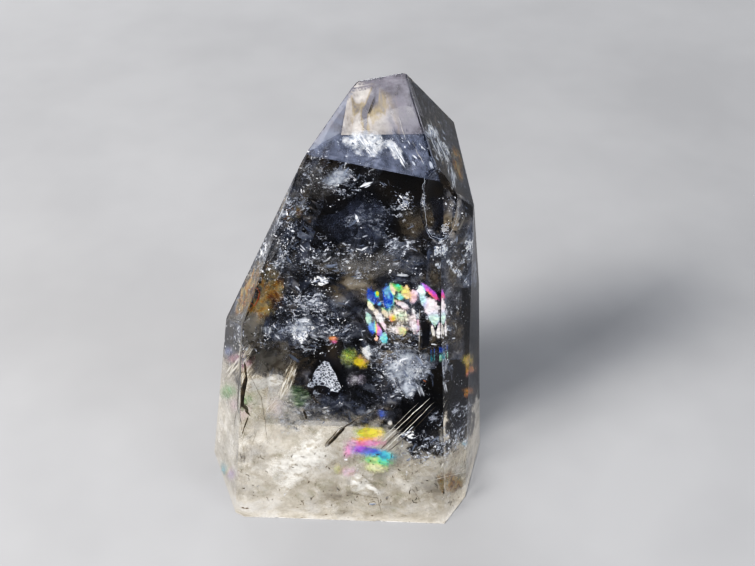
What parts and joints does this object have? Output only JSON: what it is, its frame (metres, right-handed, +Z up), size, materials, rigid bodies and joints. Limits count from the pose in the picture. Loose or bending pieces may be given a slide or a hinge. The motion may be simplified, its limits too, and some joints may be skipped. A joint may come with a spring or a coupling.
{
  "type": "quartz crystal",
  "caption": "Clear natural quartz crystal, cut and polished as a leaning six-sided point that stands upright on its flat ground base.",
  "frame": {"origin": "middle of the bounding box at the ground base", "axes": "+Z up towards the tip, which is the longest extent; -Y faces the front, the widest facet"},
  "size_m": [0.045, 0.0328, 0.0698],
  "materials": {
    "clear_quartz": "polished facets, fine ground base"
  },
  "bodies": {
    "root": {"quartz_crystal": "clear_quartz"}
  },
  "joints": []
}
